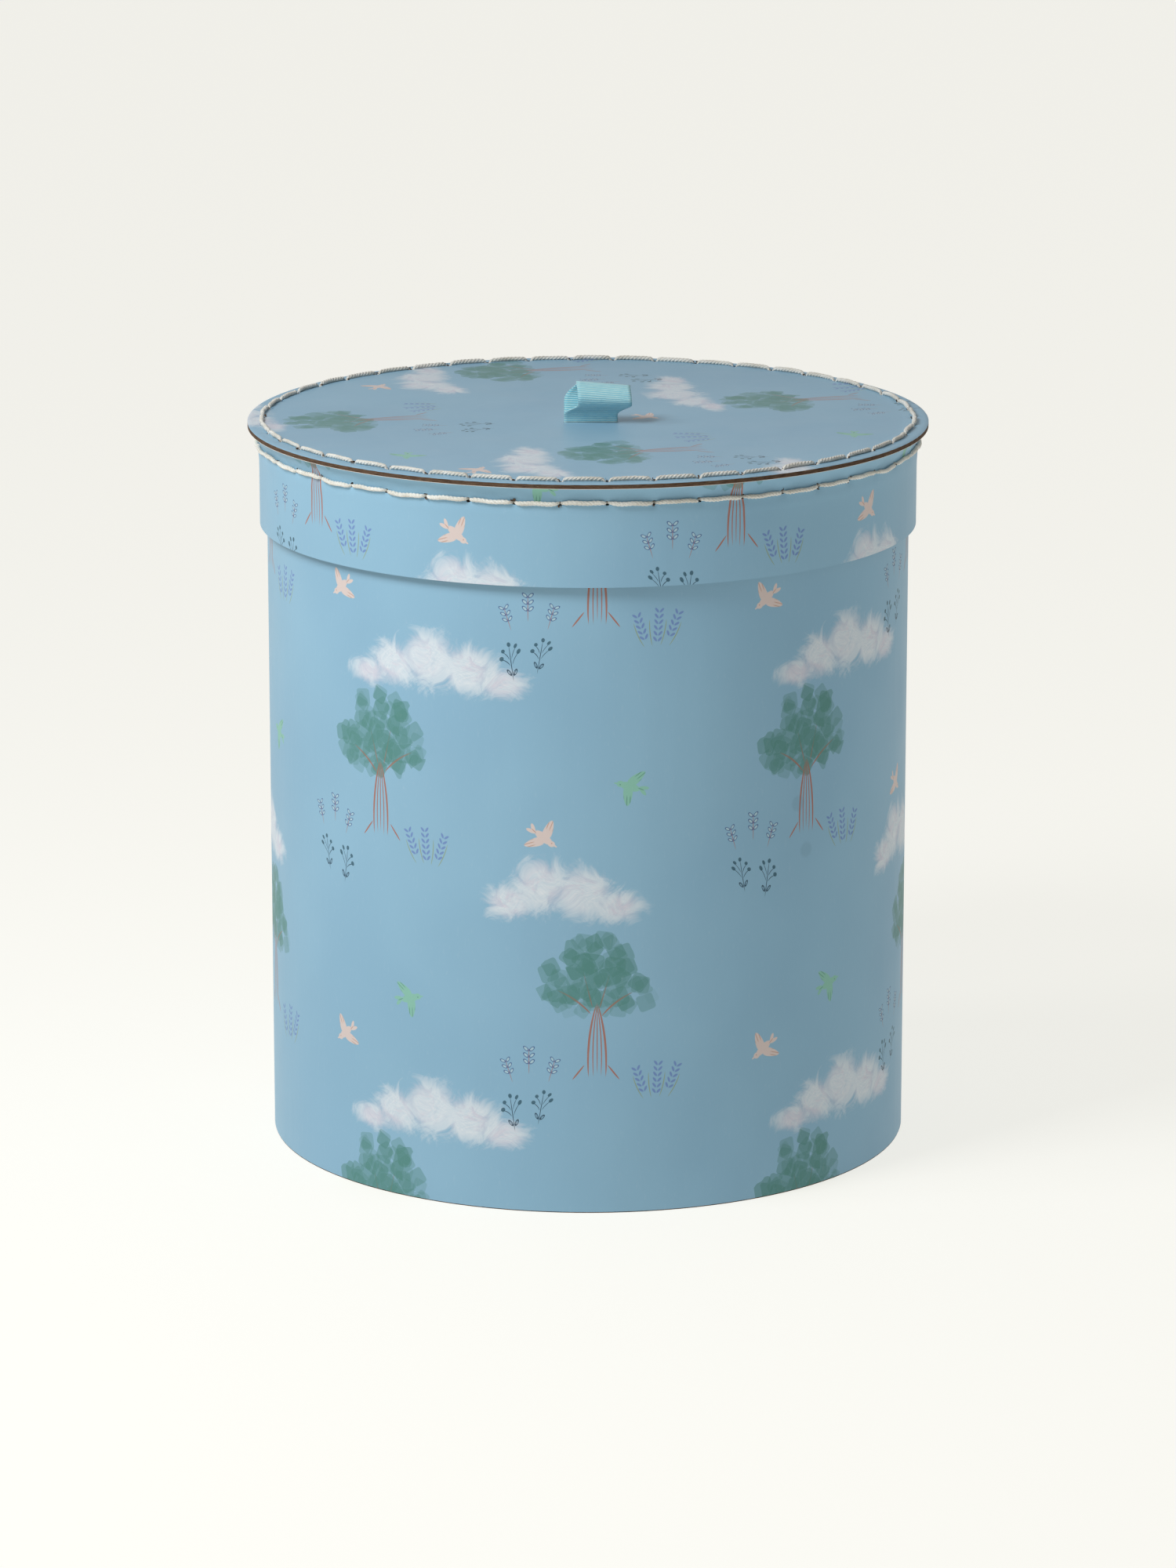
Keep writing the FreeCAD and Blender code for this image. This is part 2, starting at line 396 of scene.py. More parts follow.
# %% Stencils
def stencil(name, draw):
    """Node group that turns a place in millimetres into masks."""
    tree = bpy.data.node_groups.new(name, "ShaderNodeTree")
    for title in ("Across", "Up"):
        tree.interface.new_socket(title, in_out="INPUT", socket_type="NodeSocketFloat")
    start = tree.nodes.new("NodeGroupInput")
    end = tree.nodes.new("NodeGroupOutput")
    masks = draw((Num(tree, start.outputs["Across"]), Num(tree, start.outputs["Up"])))
    for title, mask in masks.items():
        tree.interface.new_socket(title, in_out="OUTPUT", socket_type="NodeSocketFloat")
        tree.links.new(mask.socket, end.inputs[title])
    return tree


def stamp(place, group):
    """Masks of a stencil printed at a place, by name."""
    tree = place[0].tree
    node = tree.nodes.new("ShaderNodeGroup")
    node.node_tree = group
    feed(tree, node, place)
    return {entry.name: Num(tree, entry) for entry in node.outputs}


def draw_bud_sprig(place):
    """Branching sprig with a bud on every tip and two open leaves at its foot."""
    across, up = place
    folded = across.math("ABSOLUTE"), up
    uneven = across.math("ABSOLUTE"), up + across * 0.35
    lines = [pen(place, 0, 0, 25, 0.55), pen(uneven, 3.2, 2.5, 9, 0.5, 48, 0.8),
             pen(uneven, 2.4, 6.5, 8, 0.45, 58, 0.6), pen(folded, 1.6, -7, 5, 0.4, 62)]
    buds = [oval(place, 0, 13, 1.3, 1.6), oval(uneven, 6.3, 5.6, 1.4, 1.7, -45),
            oval(uneven, 4.6, 10.2, 1.2, 1.5, -40)]
    leaves = ring(folded, 2.1, -6.4, 0.9, 2.1, -32, 0.35)
    return {"Line": most(*lines, leaves), "Bud": most(*buds)}


def draw_leaf_sprig(place):
    """Small sprig of outlined leaves in pairs."""
    across, along = seen_from(place, 0, -5, 0, 4.2, 4.2)
    fold = across.math("ABSOLUTE"), along.math("FRACT")
    inside = (along - 1.5).math("ABSOLUTE").math("LESS_THAN", 1.5)
    outline = ring(fold, 0.46, 0.5, 0.44, 0.22, 42, 0.3) * inside
    filling = oval(fold, 0.46, 0.5, 0.42, 0.2, 42) * inside
    stem = pen(place, 0, -2.5, 17, 0.5)
    return {"Line": outline, "Filling": filling, "Stem": stem}


def wing(place, x, y, reach, width, turn):
    """Pointed wing and the feather lines over its outer half."""
    along, across = seen_from(place, x, y, turn, reach / 2, width / 2)
    shape = length_of((along, across * (along * 0.35 + 1.0))).step(1.08, 0.92)
    lines = (across * 8.5).math("SINE").step(0.45, 0.85) * along.step(-0.15, 0.25)
    return shape, lines * shape


def draw_bird(place):
    """Small bird in flight: body, head, two spread wings and a forked tail."""
    upper, upper_lines = wing(place, -3.0, 4.4, 10.5, 4.6, 112)
    lower, lower_lines = wing(place, 4.4, -2.6, 11.0, 4.4, -18)
    body = oval(place, -0.4, 0.2, 5.4, 2.2, 38, 0.2)
    head = oval(place, -4.4, -3.0, 1.9, 1.6, 20, 0.2)
    beak = pen(place, -6.2, -4.0, 2.6, 0.9, 32)
    tail = most(pen(place, 5.0, 5.0, 5.4, 2.0, 72), pen(place, 6.2, 3.6, 5.4, 2.0, 24))
    eye = oval(place, -4.6, -2.7, 0.35, 0.35)
    vee = pen(place, 4.6, 3.6, 3.4, 0.5, 44)
    return {"Shape": most(upper, lower, body, head, beak, tail),
            "Line": most(upper_lines, lower_lines, eye, vee)}


bud_sprig = stencil("bud_sprig", draw_bud_sprig)
leaf_sprig = stencil("leaf_sprig", draw_leaf_sprig)
bird = stencil("bird", draw_bird)

# %% [markdown]
# The crown of a tree is dabbed with a square brush. A Voronoi texture with a Minkowski
# distance makes squarish dabs, and asking each dab whether its own middle lies inside the
# crown keeps whole dabs at the rim. Four thin layers, each turned another way, darken
# where they overlap, as washes of paint do.

# %% Tree crown
ODD_SLIDE = (7.3, 4.1)
DAB_SQUARENESS = 5.5
DAB_LOOSENESS = 0.62


def dabs(place, odd, turn, size):
    """One layer of square brush dabs that fill the crown."""
    tree = odd.tree
    across, up = seen_from(place, 0, 0, turn, size, size)
    slide, rise = odd * ODD_SLIDE[0] + turn, odd * ODD_SLIDE[1]
    cells = tree.nodes.new("ShaderNodeTexVoronoi")
    cells.voronoi_dimensions = "2D"
    cells.distance = "MINKOWSKI"
    cells.inputs["Scale"].default_value = 1
    cells.inputs["Exponent"].default_value = DAB_SQUARENESS
    cells.inputs["Randomness"].default_value = DAB_LOOSENESS
    tree.links.new(join(across + slide, up + rise).socket, cells.inputs["Vector"])
    dab_across, dab_up = split(Num(tree, cells.outputs["Position"]))
    middle = seen_from((dab_across - slide, dab_up - rise), 0, 0, -turn, 1 / size, 1 / size)
    lot, _ = split(Num(tree, cells.outputs["Color"]))
    near = Num(tree, cells.outputs["Distance"]) - lot * 0.14
    return near.step(0.39, 0.36) * in_crown(middle) * (lot * 0.55 + 0.45)


def in_crown(place):
    """1 where a dab's middle lies inside the tree's rounded crown."""
    return most(oval(place, 0, 6, 15, 15, 0, 0.02), oval(place, -12, -2, 12, 10, 0, 0.02),
                oval(place, 12, 0, 12, 11, 0, 0.02), oval(place, 0, -6, 17, 6, 0, 0.02))


# %% [markdown]
# A trunk is a few pen lines. A cloud is a row of puffs whose edge is broken up by three
# noises: a swirling one for the brush's path, and two long thin ones for its hairs.

# %% Trunk and clouds
CLOUD_SWIRL = 20


def trunk(place):
    """Pen lines of a trunk, with roots below and branches above."""
    strokes = [(-3.6, -24, 31, 0.9, 84, 1.3), (-2.0, -24, 30, 0.5, 87, 0.8), (-0.4, -23, 30, 0.45, 90),
               (1.2, -24, 31, 0.5, 93, -0.8), (2.9, -24, 31, 0.9, 96, -1.3), (-7.2, -38, 8, 0.7, 52),
               (7.4, -38, 8, 0.7, 128), (-8, -8, 16, 0.8, 142, -1.0), (8.5, -7, 17, 0.8, 36, 1.0),
               (-3.5, -3, 15, 0.6, 106), (3.5, -2, 16, 0.6, 76)]
    return most(*[pen(place, *stroke) for stroke in strokes])


def cloud(place, puffs, seed):
    """Cover and tint of a cloud made of puffs, brushed on almost dry."""
    across, up = place
    bent_across, bent_up = split(noise(join(across, up), 0.055, 1.0, colour=True))
    swirled = (bent_across.math("MULTIPLY_ADD", CLOUD_SWIRL, across),
               bent_up.math("MULTIPLY_ADD", CLOUD_SWIRL, up))
    hairs = noise(join(*seen_from(swirled, seed, seed, 35, 9.0, 1.1)), 1.0, 3.0, 0.6)
    wisps = noise(join(*seen_from(swirled, seed, -seed)), 0.085, 4.0, 0.62, 0.9)
    strokes = noise(join(*seen_from(swirled, seed, 0, -25, 2.6, 0.9)), 1.0, 2.0, 0.6)
    heart = None
    for x, y, wide, high, turn in puffs:
        puff = length_of(seen_from(place, x, y, turn, wide, high))
        heart = puff if heart is None else heart.math("SMOOTH_MIN", puff, 0.35)
    edge = heart + (wisps - 0.5) * 1.25 + (hairs - 0.5) * 0.5 + (strokes - 0.5) * 0.35
    thin = (hairs * 0.5 + strokes * 0.5 + 0.30).math("MINIMUM", 1.0)
    cover = edge.step(1.08, 0.4) * thin
    return cover, wisps.step(0.45, 0.62)


LONG_CLOUD = [(-32, -3, 12, 7, 0), (-19, 2, 14, 11, 0), (-2, 6, 16, 14, 0), (16, 3, 15, 12, 0),
              (31, -2, 13, 8, 0)]
ROUND_CLOUD = [(-22, -2, 13, 9, 0), (-9, 6, 14, 14, 0), (8, 3, 16, 13, 0), (23, -3, 12, 8, 0)]
CLOUDS = [(26, 32, LONG_CLOUD, 3.0), (COLUMN - 14, 36 - COLUMN, ROUND_CLOUD, 11.0)]
print("repeat", REPEAT, "mm, stencils", [group.name for group in bpy.data.node_groups])

# %% [markdown]
# The whole print is one more group. It starts with the blue ground, which is a little
# uneven as painted paper is, and lays every drawing on in the order a painter would:
# clouds, trunks and crowns, then lavender, grasses, sprigs and birds. Odd columns are
# printed mirrored, so the repeat is harder to see.

# %% The whole print
GROUND = ink(146, 187, 211)
GROUND_DEEP = ink(142, 183, 208)
CLOUD_WHITE = ink(232, 236, 240)
CLOUD_PINK = ink(226, 219, 228)
LEAF = ink(84, 138, 130)
BARK = ink(170, 108, 86)
LAVENDER = ink(108, 132, 192)
GRASS = ink(146, 160, 112)
BUD_INK = ink(34, 58, 78)
BUD_FILL = ink(52, 88, 104)
LEAF_INK = ink(72, 98, 150)
PALE_FILL = ink(190, 214, 218)
PINK_BIRD = ink(226, 205, 196)
MINT_BIRD = ink(140, 196, 172)
BIRD_LINE = ink(186, 142, 120)
MINT_LINE = ink(84, 136, 124)

# crown layers give a turn and a dab size; all others start with their place, x and y
CROWN_LAYERS = [(8, 8.8), (35, 7.6), (-20, 8.2), (62, 7.0)]
LAVENDER_ROWS = [(-6, -2, 112, 2.4, 5), (-1, -4, 94, 2.4, 6), (4, -3, 72, 2.4, 5)]
GRASS_BLADES = [(-9, -1, 118, 0.5), (-4, 0, 103, 0.4), (2, 0, 84, -0.4), (7, -1, 66, -0.5)]
LEAF_SPRIGS = [(-10, 4, 16, 0.6), (0, 8, 0, 0.66), (9, 3, -18, 0.6)]
BUD_SPRIGS = [(-5, -14, 10, 0.56), (7, -17, -8, 0.6)]
BIRDS = [(-22, 62, 0, PINK_BIRD, BIRD_LINE), (14, 84, 160, MINT_BIRD, MINT_LINE)]
BIRD_SIZE = 0.8


def build_print():
    """Node group that turns a place on the flat sheet, in millimetres, into printed colour."""
    tree = bpy.data.node_groups.new("country_print", "ShaderNodeTree")
    tree.interface.new_socket("Place", in_out="INPUT", socket_type="NodeSocketVector")
    tree.interface.new_socket("Colour", in_out="OUTPUT", socket_type="NodeSocketColor")
    start = tree.nodes.new("NodeGroupInput")
    end = tree.nodes.new("NodeGroupOutput")
    wash = noise(Num(tree, start.outputs["Place"]), 0.012)
    place = split(Num(tree, start.outputs["Place"]))
    colour = blend_colours(tree, wash.step(0.35, 0.65), GROUND_DEEP, GROUND)

    def lay(mask, paint):
        return blend_colours(tree, mask, colour, paint)

    for x, y, puffs, seed in CLOUDS:
        cover, tint = cloud(wide_cell(place, x, y), puffs, seed)
        colour = lay(cover * 0.92, blend_colours(tree, tint, CLOUD_WHITE, CLOUD_PINK))

    u, v, odd = cell(place, 0, 0)
    side = (odd * -2.0) + 1.0
    trunk_mask = trunk((u * side, v))
    crown = u * side, v
    colour = lay(trunk_mask * 0.55, BARK)
    for turn, size in CROWN_LAYERS:
        colour = lay(dabs(crown, odd, turn, size) * 0.6, LEAF)
    colour = lay(trunk_mask * v.step(2, -14) * 0.75, BARK)

    u, v, odd = cell(place, 24, -44)
    bunch = u * side, v
    rows = [leaf_row(bunch, *row) for row in LAVENDER_ROWS]
    colour = lay(most(*rows) * 0.8, LAVENDER)
    blades = [pen(bunch, x, y, 11, 0.42, turn, bend) for x, y, turn, bend in GRASS_BLADES]
    colour = lay(most(*blades) * 0.8, GRASS)

    u, v, odd = cell(place, -28, -40)
    patch = u * side, v
    for x, y, turn, size in LEAF_SPRIGS:
        marks = stamp(seen_from(patch, x, y, turn, size, size), leaf_sprig)
        colour = lay(marks["Stem"] * 0.75, BARK)
        colour = lay(marks["Filling"] * 0.6, PALE_FILL)
        colour = lay(marks["Line"] * 0.85, LEAF_INK)
    for x, y, turn, size in BUD_SPRIGS:
        marks = stamp(seen_from(patch, x, y, turn, size, size), bud_sprig)
        colour = lay(marks["Line"] * 0.9, BUD_INK)
        colour = lay(marks["Bud"] * 0.85, BUD_FILL)

    for x, y, turn, paint, line in BIRDS:
        u, v, odd = cell(place, x, y)
        marks = stamp(seen_from((u * side, v), 0, 0, turn, BIRD_SIZE, BIRD_SIZE), bird)
        colour = lay(marks["Shape"] * 0.88, paint)
        colour = lay(marks["Line"] * 0.7, line)
    tree.links.new(colour.socket, end.inputs["Colour"])
    return tree


country_print = build_print()
print("print nodes", len(country_print.nodes))

# %% [markdown]
# ## Finishes
#
# Every finish is a Principled shader whose colour, roughness and bump come from nodes.
# `finish` makes the shader and types in what is the same all over; the functions below it
# wire what varies.

# %% Base of a finish
def finish(name, roughness, specular=0.5, sheen=0.0):
    """New material, its tree and its shader."""
    material = bpy.data.materials.new(name)
    material.use_nodes = True
    tree = material.node_tree
    shader = tree.nodes["Principled BSDF"]
    shader.inputs["Roughness"].default_value = roughness
    shader.inputs["Specular IOR Level"].default_value = specular
    shader.inputs["Sheen Weight"].default_value = sheen
    return material, tree, shader


def object_place(tree):
    """The object's own coordinates, in metres."""
    return Num(tree, tree.nodes.new("ShaderNodeTexCoord").outputs["Object"])


def map_place(tree, name):
    """Coordinates of a named map of the piece."""
    node = tree.nodes.new("ShaderNodeUVMap")
    node.uv_map = name
    return Num(tree, node.outputs["UV"])


def moved(place, scale=(1, 1, 1), turn=0.0, shift=(0, 0, 0)):
    """Place scaled, then turned about z, then shifted."""
    node = place.tree.nodes.new("ShaderNodeMapping")
    place.tree.links.new(place.socket, node.inputs["Vector"])
    node.inputs["Scale"].default_value = scale
    node.inputs["Rotation"].default_value = (0, 0, math.radians(turn))
    node.inputs["Location"].default_value = shift
    return Num(place.tree, node.outputs[0])


def bump(tree, shader, height, depth, before=None):
    """Bump of a height socket, depth metres deep."""
    node = tree.nodes.new("ShaderNodeBump")
    node.inputs["Distance"].default_value = depth
    tree.links.new(height.socket, node.inputs["Height"])
    if before:
        tree.links.new(before, node.inputs["Normal"])
    tree.links.new(node.outputs["Normal"], shader.inputs["Normal"])
    return node.outputs["Normal"]


# %% [markdown]
# Printed paper has a low satin gloss that is a little uneven, faint fibres, and the odd
# soft thumb mark. Each sheet was cut from the roll in another place, so each has its own
# shift and turn of the same print.

# %% Printed paper
TO_MM = (1 / MM, 1 / MM, 1 / MM)
SMUDGE_SCALE = 12


def print_finish(name, place_of, turn=0.0, shift=(0, 0, 0), specular=0.12):
    """Printed paper whose pattern is laid out by place_of(tree), in metres."""
    material, tree, shader = finish(name, 0.42, specular)
    flat = place_of(tree)
    spot = moved(flat, TO_MM, turn, shift)
    group = tree.nodes.new("ShaderNodeGroup")
    group.node_tree = country_print
    tree.links.new(spot.socket, group.inputs["Place"])
    printed = Num(tree, group.outputs["Colour"])
    cloudy = noise(object_place(tree), 14, 3.0)
    fibres = noise(moved(object_place(tree), (1, 1, 0.35)), 900, 3.0, 0.6)
    tone = blend_colours(tree, cloudy.step(0.3, 0.75) * 0.05, printed, ink(96, 118, 132))
    marks = tree.nodes.new("ShaderNodeTexVoronoi")
    marks.inputs["Scale"].default_value = SMUDGE_SCALE
    tree.links.new(object_place(tree).socket, marks.inputs["Vector"])
    smudge = Num(tree, marks.outputs["Distance"]).step(0.05, 0.03) * 0.16
    tone = blend_colours(tree, smudge, tone, ink(92, 122, 142))
    colour = blend_colours(tree, fibres.step(0.55, 0.8) * 0.05, tone, ink(226, 232, 236))
    tree.links.new(colour.socket, shader.inputs["Base Color"])
    gloss = noise(object_place(tree), 38, 4.0, 0.6) * 0.16 + 0.36
    tree.links.new(gloss.socket, shader.inputs["Roughness"])
    waves = noise(moved(object_place(tree), (1, 1, 0.12)), 60, 2.0)
    wavy = bump(tree, shader, waves, 0.00035)
    bump(tree, shader, fibres, 0.00003, wavy)
    return material


def flat_place(tree):
    """Place on the sheet as it lay flat."""
    return map_place(tree, "flat")


WALL_CUT = (92.6, -195.0, 0)
BAND_CUT = (129.4, -321.0, 0)
DISC_TURN = -104
DISC_CUT = Vector((80, 39, 0))
BASE_TURN = 20
BASE_CUT = (30, 40, 0)
wall_print = print_finish("wall_print", flat_place, 0, WALL_CUT)
band_print = print_finish("band_print", flat_place, 0, BAND_CUT)
disc_shift = Matrix.Rotation(math.radians(DISC_TURN), 3, "Z") @ -DISC_CUT
disc_print = print_finish("disc_print", object_place, DISC_TURN, tuple(disc_shift), 0.5)
base_print = print_finish("base_print", object_place, BASE_TURN, BASE_CUT)

# %% [markdown]
# The board is pressed brown fibre. Where it is cut, its layers show as fine level
# streaks with paler flecks, so the noise is squeezed flat along z.

# %% Fibreboard, lining paper and glue
def board_finish():
    """Pressed brown fibre in level layers, with pale and dark flecks."""
    material, tree, shader = finish("fibreboard", 0.85, 0.25)
    place = object_place(tree)
    layers = noise(moved(place, (1, 1, 14)), 260, 4.0, 0.65)
    flecks = noise(moved(place, (1, 1, 2.5)), 1100, 3.0, 0.7)
    colour = blend_colours(tree, layers.step(0.32, 0.7), ink(70, 52, 40), ink(112, 88, 68))
    colour = blend_colours(tree, flecks.step(0.62, 0.72) * 0.55, colour, ink(168, 142, 116))
    colour = blend_colours(tree, flecks.step(0.4, 0.3) * 0.5, colour, ink(48, 34, 26))
    tree.links.new(colour.socket, shader.inputs["Base Color"])
    rough = bump(tree, shader, layers, 0.0004)
    bump(tree, shader, flecks, 0.00025, rough)
    return material


def lining_finish():
    """Plain off-white paper, mottled, with a few fibres."""
    material, tree, shader = finish("lining_paper", 0.8, 0.3)
    place = object_place(tree)
    mottle = noise(place, 45, 4.0, 0.6)
    fibres = noise(moved(place, (1, 1, 0.4)), 1200, 3.0, 0.65)
    colour = blend_colours(tree, mottle.step(0.3, 0.7), ink(236, 233, 226), ink(226, 222, 213))
    colour = blend_colours(tree, fibres.step(0.6, 0.75) * 0.25, colour, ink(196, 188, 174))
    tree.links.new(colour.socket, shader.inputs["Base Color"])
    bump(tree, shader, fibres, 0.00006)
    return material


def glue_finish():
    """Dried glue, yellowish and uneven."""
    material, tree, shader = finish("dried_glue", 0.3, 0.5)
    runs = noise(object_place(tree), 160, 3.0, 0.6)
    colour = blend_colours(tree, runs.step(0.35, 0.65), ink(226, 214, 186), ink(206, 188, 150))
    tree.links.new(colour.socket, shader.inputs["Base Color"])
    bump(tree, shader, runs, 0.0008)
    return material


fibreboard = board_finish()
lining_paper = lining_finish()
dried_glue = glue_finish()


def paint_node(node, material):
    """Give a CAD node its finish."""
    mesh = nodes[node].data
    mesh.materials.clear()
    mesh.materials.append(material)


for node in ("wall_board", "base_board", "lid_disc_board", "lid_band_board"):
    paint_node(node, fibreboard)
for node in ("wall_lining_paper", "base_lining_paper", "lid_disc_lining_paper",
             "lid_band_lining_paper", "ribbon_patch"):
    paint_node(node, lining_paper)
paint_node("base_glue_bead", dried_glue)
paint_node("base_print_paper", base_print)

# %% [markdown]
# ## The wall's printed sheet
#
# A sheet wrapped round a drum is a straight line spun round the axis, stopping just short
# of a full turn where its two ends meet at the back. Spinning leaves an open sheet, and
# `solidify` gives it the paper's thickness. A map named "flat" then keeps how far round
# and how high each corner lies, which is exactly where it was on the roll.

# %% Helpers for wrapped sheets
def angle_of(point):
    """Turn from the front (-Y) towards +X, in radians."""
    return math.atan2(point.x, -point.y)


def spin_sheet(profile, start, sweep, steps, closed=False):
    """Sheet made by spinning (radius, height) points about the axis, from a turn."""
    bm = bmesh.new()
    side = Vector((math.sin(start), -math.cos(start), 0))
    line = [bm.verts.new(side * radius + Vector((0, 0, height))) for radius, height in profile]
    edges = [bm.edges.new(pair) for pair in zip(line, line[1:])]
    bmesh.ops.spin(bm, geom=line + edges, cent=(0, 0, 0), axis=(0, 0, 1), angle=sweep,
                   steps=steps, use_merge=closed)
    bmesh.ops.recalc_face_normals(bm, faces=bm.faces)
    return bm


def map_flat(bm, radius, seam):
    """UV map of the sheet as it lay flat, in metres, centred on the front."""
    layer = bm.loops.layers.uv.new("flat")
    for face in bm.faces:
        middle = angle_of(face.calc_center_median())
        for loop in face.loops:
            turn = angle_of(loop.vert.co)
            if abs(turn - middle) > math.pi:
                turn += math.copysign(2 * math.pi, middle - turn)
            if middle > seam:
                turn -= 2 * math.pi
            elif middle < seam - 2 * math.pi:
                turn += 2 * math.pi
            loop[layer].uv = (turn * radius, loop.vert.co.z)


def smooth(piece, sharp_degrees=40):
    """Smooth shading with the sharp corners kept."""
    piece.data.shade_smooth()
    piece.data.set_sharp_from_angle(angle=math.radians(sharp_degrees))


# %% Wall sheet
WALL_STEPS = 240
WALL_ROWS = 24
SEAM_GAP = 0.4 * MM
WALL_SEAM = 168
gap_turn = SEAM_GAP / wall_radius
wall_seam = math.radians(WALL_SEAM)
rows = [wall_low + (wall_high - wall_low) * row / WALL_ROWS for row in range(WALL_ROWS + 1)]
profile = [(wall_radius, z) for z in rows]
bm = spin_sheet(profile, wall_seam + gap_turn / 2, 2 * math.pi - gap_turn, WALL_STEPS)
bmesh.ops.solidify(bm, geom=bm.faces[:], thickness=paper)
map_flat(bm, wall_radius, wall_seam)
wall_sheet = new_object("wall_printed_sheet", bm)
wall_sheet.data.materials.append(wall_print)
smooth(wall_sheet)
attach(wall_sheet, "box")
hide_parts("wall_print_paper")
print("wall sheet faces", len(wall_sheet.data.polygons))

# %% [markdown]
# ## The sewing's plan
#
# Both rows share one plan: a hole every 1/46 of a turn, and a stitch from each hole to the
# next. One small function gives the turn of a hole. A second places anything that is
# measured along a row: so far along it, so far aside in the sheet, and so far off the sheet.

# %% Rows of stitches
STITCHES = 46
FIRST_HOLE = math.radians(3.2)
STITCH_TURN = 2 * math.pi / STITCHES
CORD_RADIUS = 1.0 * MM
HOLE_RADIUS = 1.2 * MM
TOP_ROW_INSET = 1.25 * MM
SIDE_ROW_DROP = 6.8 * MM
FLARE_HEIGHT = 6.1 * MM
FLARE_RADIUS = 10.0 * MM

disc_underside = band_high
band_points = nodes["lid_band_print_paper"].data.vertices
band_radius = min(math.hypot(v.co.x, v.co.y) for v in band_points) + paper
top_row = band_radius - TOP_ROW_INSET
side_row = disc_underside - SIDE_ROW_DROP


def hole_turn(index):
    """Turn of a stitch hole from the front."""
    return FIRST_HOLE + index * STITCH_TURN


def round_place(turn, radius, height):
    """Point at a turn from the front, a distance from the axis, and a height."""
    return Vector((math.sin(turn) * radius, -math.cos(turn) * radius, height))


def on_disc(turn, aside, off):
    """Point by the row of stitches on the disc."""
    return round_place(turn, top_row + aside, disc_top + off)


def on_band(turn, aside, off):
    """Point by the row of stitches on the band."""
    return round_place(turn, band_radius + off, side_row + aside)


print("band radius", round(band_radius / MM, 2))
print("rows at radius", round(top_row / MM, 2), "and height", round(side_row / MM, 2))
print("stitch length", round(STITCH_TURN * top_row / MM, 2), "mm")

# %% [markdown]
# ## The lid band's printed sheet
#
# The band is a strip like the wall, but its top edge is drawn outwards to meet the disc,
# and the sewing puckers it. The profile that is spun is therefore a straight line with an
# arc at its top, with points close together where the stitches are. Then the sheet swells
# a little between the holes, and each hole is torn open: its middle corner is deleted and
# the eight corners round it are pushed on to a ragged circle.

# %% Swelling and torn holes
HOLE_COLUMNS = 20
SHEET_STEPS = STITCHES * HOLE_COLUMNS
step_length = STITCH_TURN * top_row / HOLE_COLUMNS
luck = random.Random(7)


def near_hole(point, height, radius):
    """Distance of a point on a round sheet from the nearest stitch hole, along the sheet."""
    turn = (angle_of(point) - FIRST_HOLE) % STITCH_TURN
    along = min(turn, STITCH_TURN - turn) * top_row
    return math.hypot(along, height), along


def ease(value, low, high):
    """0 below low, 1 above high, and a smooth ramp between."""
    share = min(max((value - low) / (high - low), 0), 1)
    return share * share * (3 - 2 * share)


def tear_holes(bm, centres, ragged):
    """Open a hole in a sheet round each centre, with an uneven edge."""
    finder = KDTree(len(bm.verts))
    bm.verts.ensure_lookup_table()
    for vertex in bm.verts:
        finder.insert(vertex.co, vertex.index)
    finder.balance()
    middles = [bm.verts[finder.find(centre)[1]] for centre in centres]
    for centre, middle in zip(centres, middles):
        rim = {vertex for face in middle.link_faces for vertex in face.verts} - {middle}
        # A set has no fixed order, so the ragged edge differs a little from run to run.
        for vertex in rim:
            way = vertex.co - centre
            reach = HOLE_RADIUS * luck.uniform(1 - ragged, 1 + ragged / 2)
            vertex.co = centre + way.normalized() * reach
    bmesh.ops.delete(bm, geom=middles, context="VERTS")


# %% Band sheet
BAND_SWELL = 0.28 * MM
BAND_PUCKER = 0.5 * MM
BAND_SEAM = 196
ROWS_BELOW, ROWS_ABOVE = 8, 7
band_seam = math.radians(BAND_SEAM)


def flared(height):
    """Radius of the band's outer face at a height."""
    rise = max(height - (disc_underside - FLARE_HEIGHT), 0)
    return band_radius + FLARE_RADIUS - math.sqrt(FLARE_RADIUS ** 2 - rise ** 2)


plain_height = side_row - ROWS_BELOW * step_length - band_low
rows = [band_low + share * plain_height for share in (0, 0.05, 0.3, 0.6, 0.85)]
rows += [side_row + step * step_length for step in range(-ROWS_BELOW, ROWS_ABOVE)] + [disc_underside]
gap_turn = SEAM_GAP / band_radius
profile = [(flared(z), z) for z in rows]
bm = spin_sheet(profile, band_seam + gap_turn / 2, 2 * math.pi - gap_turn, SHEET_STEPS)
for vertex in bm.verts:
    height = vertex.co.z - side_row
    from_hole, along = near_hole(vertex.co, height, band_radius)
    swell = BAND_SWELL * ease(from_hole, 0.8 * MM, 4 * MM) * ease(-abs(height), -9 * MM, -4 * MM)
    pucker = BAND_PUCKER * (0.5 + 0.5 * math.cos(math.pi * along / (0.45 * STITCH_TURN * top_row)))
    swell += pucker * ease(height, 1.5 * MM, 4 * MM) * ease(-height, -7 * MM, -5 * MM)
    side = Vector((vertex.co.x, vertex.co.y, 0)).normalized()
    vertex.co += side * swell
tear_holes(bm, [on_band(hole_turn(index), 0, 0) for index in range(STITCHES)], 0.25)
bmesh.ops.solidify(bm, geom=bm.faces[:], thickness=paper)
map_flat(bm, band_radius, band_seam)
band_sheet = new_object("lid_band_printed_sheet", bm)
band_sheet.data.materials.append(band_print)
smooth(band_sheet)
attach(band_sheet, "lid")
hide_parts("lid_band_print_paper")
print("band sheet faces", len(band_sheet.data.polygons))

# %% [markdown]
# ## The disc's printed sheet
#
# Only the rim of the disc needs a fine mesh, for the holes and the soft dents round them.
# So a short line is spun into a flat ring, and the middle is filled in one go with
# `triangle_fill`, which also leaves the ribbon's slot open because its four edges are part
# of the outline. The paper rolls down a little where the punch cut it.

